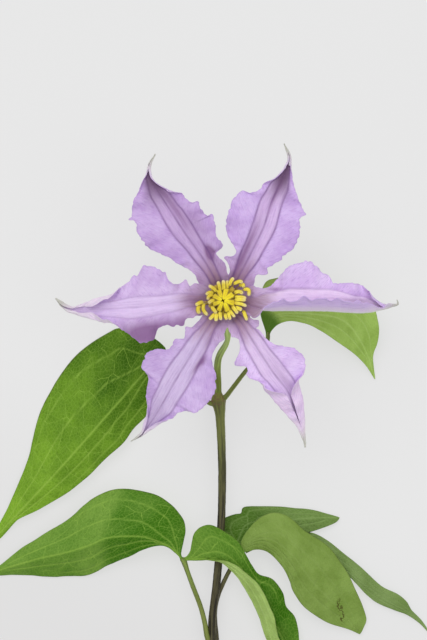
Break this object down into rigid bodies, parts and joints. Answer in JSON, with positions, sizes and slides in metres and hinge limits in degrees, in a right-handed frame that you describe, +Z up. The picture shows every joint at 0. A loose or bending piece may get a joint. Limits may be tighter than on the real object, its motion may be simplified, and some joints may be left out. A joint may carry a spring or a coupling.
{
  "type": "clematis flower",
  "caption": "Cut clematis stem lying flat, with a lilac star-shaped flower facing up, yellow stamens, simple leaves below it and divided leaves lower down.",
  "frame": {"origin": "bottom centre of the whole sprig's box, on the surface that it lies on", "axes": "+Z up out of the surface, the way the flower faces; +Y along the stem from the cut end to the flower; +X to the right as seen from above with the flower at the top"},
  "size_m": [0.1336, 0.162, 0.0363],
  "materials": {
    "sepal": "matte",
    "leaf": "satin",
    "stem": "matte",
    "stalk": "satin",
    "anther": "matte"
  },
  "bodies": {
    "root": {"stem": "stem", "flower_stalk": "stalk", "receptacle": "stalk", "pistil_cluster": "anther", "petiole_upper_left": "stalk", "petiole_upper_right": "stalk", "petiole_lower_left": "stalk", "petiole_lower_right": "stalk", "sepal_upper_left": "sepal", "sepal_upper_right": "sepal", "sepal_right": "sepal", "sepal_lower_right": "sepal", "sepal_lower_left": "sepal", "sepal_left": "sepal", "leaf_upper_left": "leaf", "leaf_upper_right": "leaf", "leaflet_left_outer": "leaf", "leaflet_left_inner": "leaf", "leaflet_right_back": "leaf", "leaflet_right_broad": "leaf", "leaflet_right_narrow": "leaf", "stamen_01": "anther", "stamen_02": "anther", "stamen_03": "anther", "stamen_04": "anther", "stamen_05": "anther", "stamen_06": "anther", "stamen_07": "anther", "stamen_08": "anther", "stamen_09": "anther", "stamen_10": "anther", "stamen_11": "anther", "stamen_12": "anther", "stamen_13": "anther", "stamen_14": "anther", "stamen_15": "anther", "stamen_16": "anther", "stamen_17": "anther", "stamen_18": "anther", "stamen_19": "anther", "stamen_20": "anther", "stamen_21": "anther", "stamen_22": "anther", "stamen_23": "anther", "stamen_24": "anther", "stamen_25": "anther", "stamen_26": "anther", "stamen_27": "anther", "stamen_28": "anther", "stamen_29": "anther", "stamen_30": "anther", "stamen_31": "anther", "stamen_32": "anther", "stamen_33": "anther", "stamen_34": "anther", "stamen_35": "anther", "stamen_36": "anther"}
  },
  "joints": []
}
